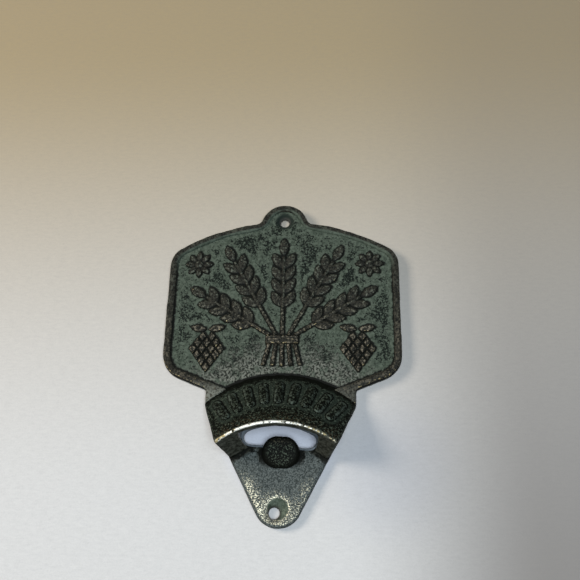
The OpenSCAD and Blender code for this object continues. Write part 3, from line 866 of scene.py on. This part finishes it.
def hood_inside(f, metal, ragged, beyond):
    """Metal of the hood with its brown scoop, painted light in its grey pocket, and black painted shade
    along the plate.
    """
    scoop = f.attribute("scoop")
    cheek = f.mix(f.band(ragged, 0.36, 0.64), CHEEK_DARK_AND_SHADE, CHEEK_LIGHT)
    metal = f.mix(f.band(scoop, *IN_SCOOP), metal, cheek)
    over = f.minus(f.p, plate_t)
    off_cone = f.plus(beyond, f.times(over, cone_slope))
    # Painted light: the pocket in the cone is lifted to a pale bluish grey
    pocket = f.times(f.band(off_cone, *IN_POCKET), f.band(scoop, *OFF_SCOOP))
    pocket = f.times(pocket, f.band(f.sideways(), *POCKET_SIDES))
    metal = f.mix(pocket, metal, POCKET_PAINTED_LIGHT)
    # Black painted shade where the hood meets the plate
    hood_foot_shade = f.band(f.plus(over, f.times(ragged, HOOD_FOOT_TATTER)), *HOOD_FOOT_SHADE)
    return f.mix(f.times(hood_foot_shade, f.minus(1.0, pocket)), metal, WAX_AND_SHADE)


def worn_lip(f, lip):
    """Line worn bright along the lip, with a painted highlight on it, and its colour.

    The painted highlight is white left of the middle, golden at its left end, and broken into flecks at the
    right.
    """
    left, right = f.band(f.u, *LIP_LEFT), f.band(f.u, *LIP_RIGHT)
    centre = f.band(f.math("ABSOLUTE", f.minus(f.u, LIP_MIDDLE)), *LIP_CENTRE)
    width = f.plus(LIP_W, f.times(f.either(centre, left), LIP_GAIN))
    reach = f.band(f.math("DIVIDE", lip, width), 1.0, 0.6)
    unbroken = f.more_where(f.noise(WEAR), right, amount=-0.07, cut=(0.34, 0.46))
    centre_over_left = f.minus(centre, f.times(left, 0.5))
    # White painted highlight on the lip, strongest left of the middle
    white = f.more_where(f.noise(GLINT), centre_over_left, amount=0.2, cut=(0.45, 0.65))
    return f.times(reach, unbroken), f.mix(white, GOLD, LIP_HIGHLIGHT_WHITE)


def iron_finish():
    """Hood and lobes: dark iron with painted light in a grey pocket and a worn lip that carries a painted
    highlight.
    """
    f = Finish("dark_iron")
    lip = f.attribute("lip")
    ragged = f.noise(TATTER, RAGGED)
    beyond = f.beyond_root()
    metal = hood_metal(f, ragged, lip, beyond)
    metal = hood_inside(f, metal, ragged, beyond)
    line, bright = worn_lip(f, lip)
    colour = f.mix(line, metal, bright)
    f.look(colour, roughness=f.minus(0.6, f.times(line, 0.25)), gloss=0.02, metal=f.times(line, 0.3))
    f.sand(strength=0.55)
    return f.material


def tooth_finish():
    """Tooth: black iron, with fine pale flecks on its face that turn golden near its top, and black painted
    shade around its edge.
    """
    f = Finish("tooth_iron")
    low, high = box_mm("cap_tooth")
    centre = ((low[0] + high[0]) / 2, (low[2] + high[2]) / 2)
    half_h = (high[2] - low[2]) / 2
    # Beyond its face the tooth stays black: painted shade around its edge
    face = f.band(f.minus(f.from_point(centre), half_h), *TOOTH_FACE)
    flecks = f.times(face, f.specks(SPECK, (0.54, 0.62), FINE))
    golden = f.band(f.v, centre[1] + TOOTH_GOLD[0], high[2] + TOOTH_GOLD[1])
    f.look(f.mix(flecks, WAX_AND_SHADE, f.mix(golden, GUNMETAL, COPPER)), roughness=0.6, gloss=0.05)
    f.sand(strength=0.55)
    return f.material


# Stage: pale wall, lamps and camera

# Wall: its half width, its gap behind the opener, and its colours: at the foot, at the top with painted
# warm shade, behind the slot with painted cool light, beside the hood with painted blue shadow, at the
# right with painted shade, and in the weave
WALL_HALF, WALL_GAP = 1.2, 0.4 * MM
WALL_FOOT, WALL_TOP_SHADE, WALL_COOL_LIGHT = linear(217, 213, 208), linear(168, 148, 112), linear(216, 216, 223)
WALL_BLUE_SHADOW, WALL_SHADE, WALL_WEAVE = linear(150, 158, 178), linear(110, 102, 94), linear(120, 118, 116)
# Heights between which the wall turns to its painted warm shade at the top and its painted shade at the
# right deepens, places across between which that painted shade comes in, and the painted shade's least
# strength and what it gains
WALL_TOP_SHADE_RISE, SHADE_DEEPENS, SHADE_RIGHT = (-110.0, 90.0), (90.0, -150.0), (18.0, 85.0)
SHADE_LEAST, SHADE_GAIN = 0.22, 0.6
# Middles of the painted cool light behind the slot and of the painted blue shadow beside the hood, and how
# far they reach
COOL_LIGHT_PLACE, COOL_LIGHT_REACH = (0.0, -80.0), (22.0, 12.0)
BLUE_SHADOW_PLACE, BLUE_SHADOW_REACH, BLUE_SHADOW_SHARE = (36.0, -88.0), (32.0, 6.0), 0.25
# Weave: sizes of its knots and threads, how much its threads are drawn out, and its strength
KNOT, THREAD, DRAWN_OUT, WEAVE_SHARE = 0.5, 0.9, 0.3, 0.6


def seen_directly(tree):
    """1 for rays that come from the camera, straight or by way of gloss or glass, and 0 for light."""
    path = tree.nodes.new("ShaderNodeLightPath")
    seen = path.outputs["Is Camera Ray"]
    for ray in ("Is Glossy Ray", "Is Transmission Ray"):
        either = tree.nodes.new("ShaderNodeMath")
        either.operation = "MAXIMUM"
        tree.links.new(seen, either.inputs[0])
        tree.links.new(path.outputs[ray], either.inputs[1])
        seen = either.outputs[0]
    return seen


def wall_finish():
    """Pale woven cloth with painted light and shade: darker and warm above, shaded at the right, cool
    behind the slot and blue beside the hood. It is clear from behind and to light.
    """
    f = Finish("pale_wall")
    # Painted shade: the wall turns darker and warm towards the top
    tone = f.mix(f.band(f.v, *WALL_TOP_SHADE_RISE), WALL_FOOT, WALL_TOP_SHADE)
    # Painted cool light on the wall behind the slot
    tone = f.mix(f.band(f.from_point(COOL_LIGHT_PLACE), *COOL_LIGHT_REACH), tone, WALL_COOL_LIGHT)
    # Painted blue shadow on the wall beside the hood
    shadow_beside_hood = f.times(f.band(f.from_point(BLUE_SHADOW_PLACE), *BLUE_SHADOW_REACH), BLUE_SHADOW_SHARE)
    tone = f.mix(shadow_beside_hood, tone, WALL_BLUE_SHADOW)
    # Painted shade at the right of the wall, deeper towards the bottom
    shade = f.plus(SHADE_LEAST, f.times(f.band(f.v, *SHADE_DEEPENS), SHADE_GAIN))
    tone = f.mix(f.times(f.band(f.u, *SHADE_RIGHT), shade), tone, WALL_SHADE)
    threads = f.add("ShaderNodeCombineXYZ", f.times(f.u, DRAWN_OUT), 0.0, f.v).outputs["Vector"]
    weave = f.times(f.noise(KNOT, CLOUDY), f.noise(THREAD, RAGGED, threads))
    tone = f.mix(f.times(weave, WEAVE_SHARE), tone, WALL_WEAVE)
    f.look(tone, roughness=0.9, gloss=0.5)
    behind = f.add("ShaderNodeNewGeometry").outputs["Backfacing"]
    shown = f.times(seen_directly(f.tree), f.minus(1.0, behind))
    clear = f.add("ShaderNodeBsdfTransparent")
    choice = f.add("ShaderNodeMixShader", shown, clear.outputs["BSDF"], f.shader.outputs["BSDF"])
    f.feed(f.tree.nodes["Material Output"].inputs["Surface"], choice.outputs["Shader"])
    return f.material


def make_wall():
    """Upright wall just behind the opener."""
    mesh = bpy.data.meshes.new("wall")
    ends = ((-1, -1), (1, -1), (1, 1), (-1, 1))
    mesh.from_pydata([(x * WALL_HALF, WALL_GAP, z * WALL_HALF) for x, z in ends], [], [(0, 1, 2, 3)])
    mesh.materials.append(wall_finish())
    wall = bpy.data.objects.new("wall", mesh)
    bpy.context.collection.objects.link(wall)


def make_lamp(name, place, width, power, colour):
    """Square area lamp that looks at the opener."""
    lamp = bpy.data.lights.new(name, "AREA")
    lamp.size = width
    lamp.energy = power
    lamp.color = colour
    made = bpy.data.objects.new(name, lamp)
    made.location = place
    made.rotation_mode = "QUATERNION"
    made.rotation_quaternion = (LAMP_TARGET - Vector(place)).to_track_quat("-Z", "Y")
    bpy.context.collection.objects.link(made)


def make_world():
    """Even light from all around, which looks pale where it is seen."""
    world = bpy.data.worlds.new("studio")
    world.use_nodes = True
    tree = world.node_tree
    background = tree.nodes["Background"]
    background.inputs["Color"].default_value = SKY_COLOUR
    level = tree.nodes.new("ShaderNodeMapRange")
    tree.links.new(seen_directly(tree), level.inputs["Value"])
    level.inputs["To Min"].default_value = SKY_LIGHT
    level.inputs["To Max"].default_value = SKY_SEEN
    tree.links.new(level.outputs["Result"], background.inputs["Strength"])
    bpy.context.scene.world = world


def make_camera():
    """Camera of the photograph: below the middle, a little to the right, and rolled slightly."""
    back = Vector((
        math.sin(CAMERA_YAW) * math.cos(CAMERA_TILT),
        -math.cos(CAMERA_YAW) * math.cos(CAMERA_TILT),
        -math.sin(CAMERA_TILT),
    ))
    level = Vector((0, 0, 1)).cross(back).normalized()
    upward = back.cross(level)
    right = level * math.cos(CAMERA_ROLL) + upward * math.sin(CAMERA_ROLL)
    top = upward * math.cos(CAMERA_ROLL) - level * math.sin(CAMERA_ROLL)
    lens = bpy.data.cameras.new("camera")
    lens.sensor_width = SENSOR_W
    lens.lens = SENSOR_W * FOCAL_PX / PHOTO_PX
    lens.clip_start = CLIP_START
    camera = bpy.data.objects.new("camera", lens)
    turn = Matrix((right, top, back)).transposed().to_4x4()
    camera.matrix_world = Matrix.Translation(CAMERA_TARGET + back * CAMERA_DISTANCE) @ turn
    bpy.context.collection.objects.link(camera)
    bpy.context.scene.camera = camera


make_camera()
make_wall()
make_world()
make_lamp("key", place=(-0.58, -0.55, 0.05), width=0.28, power=3.9, colour=(1.0, 0.93, 0.84))
make_lamp("fill", place=(0.10, -0.75, -0.28), width=0.30, power=5.2, colour=(0.76, 0.88, 1.0))
make_lamp("back", place=(0.20, 0.60, 0.30), width=0.60, power=5.5, colour=(1.0, 1.0, 1.0))

# Each finish goes with the record's slot that it stands for
patina = (patina_finish(), "green_iron")
bronze = (bronze_finish(), "rubbed_bronze")
iron = (iron_finish(), "dark_iron")
tooth_iron = (tooth_finish(), "dark_iron")

plate_low, plate_high = box_mm("back_plate")
plate_high[1] = box_mm("raised_rim")[1][1]
cast(samples(plate_low, plate_high, PLATE_STEP, CAST_MARGIN), {
    "back_plate": (patina, ("gap", "inset")),
    "raised_rim": (bronze, ("rub_and_highlight", "inset")),
})
hood_low, hood_high = box_mm("hood")
hood_low[2] = min(hood_low[2], box_mm("cap_tooth")[0][2])
cast(samples(hood_low, hood_high, HOOD_STEP, CAST_MARGIN), {
    "hood": (iron, ("rub_and_highlight", "lip", "scoop", "lobe")),
    "cap_tooth": (tooth_iron, ()),
})

for place, name in zip(EAR_PLACES, EARS):
    raise_ornament("barley_ear_" + name, lambda u, v: ear_height(u, v, place), over_plate, bronze)
raise_ornament("sheaf_straw", straw_height, over_plate, bronze)
raise_ornament("sheaf_tie", tie_height, over_plate, bronze)
for side, name in ((-1, "left"), (1, "right")):
    raise_ornament("hop_cone_" + name, lambda u, v: hop_height(u, v, side), over_plate, bronze)
    raise_ornament("rosette_" + name, lambda u, v: rosette_height(u, v, side), over_plate, bronze)
raise_ornament("hood_lobes", lobe_height, over_hood, iron)

bpy.context.scene.view_settings.view_transform = "Standard"
